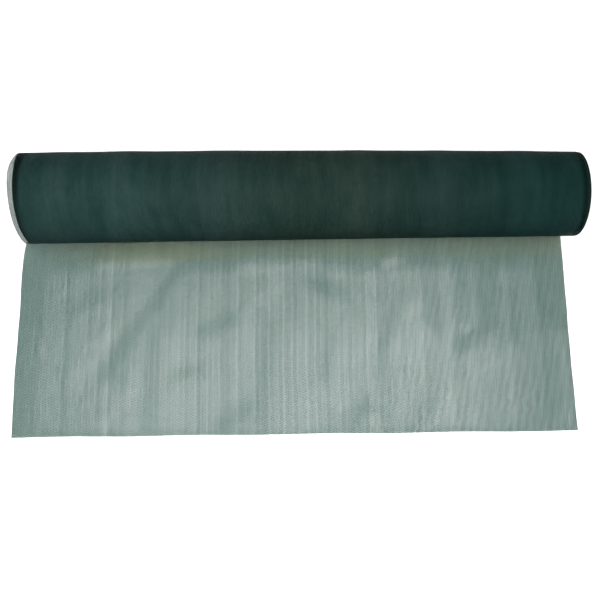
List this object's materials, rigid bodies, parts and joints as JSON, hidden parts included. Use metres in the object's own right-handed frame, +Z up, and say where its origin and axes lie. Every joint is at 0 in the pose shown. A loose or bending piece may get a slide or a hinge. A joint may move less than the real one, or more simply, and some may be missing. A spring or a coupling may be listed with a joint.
{
  "type": "roll of knitted shade cloth with a loose end",
  "caption": "Roll of green openwork shade cloth lying on its side, slightly conical, with its loose end unrolled flat in front of it.",
  "frame": {"origin": "middle of the footprint, on the surface that the roll and its loose end lie on", "axes": "+X along the roll and across the cloth's width, -Y from the roll towards the cut edge of the loose end, +Z up"},
  "size_m": [1.0136, 0.4992, 0.1619],
  "materials": {
    "wound_cloth": "dark green polyethylene tape and monofilament knit, satin, near black where many turns lie on each other",
    "single_ply_cloth": "the same dark green knit in one openwork ply, pale over a white surface"
  },
  "bodies": {
    "root": {"wound_roll": "wound_cloth", "loose_end": "single_ply_cloth"}
  },
  "joints": []
}
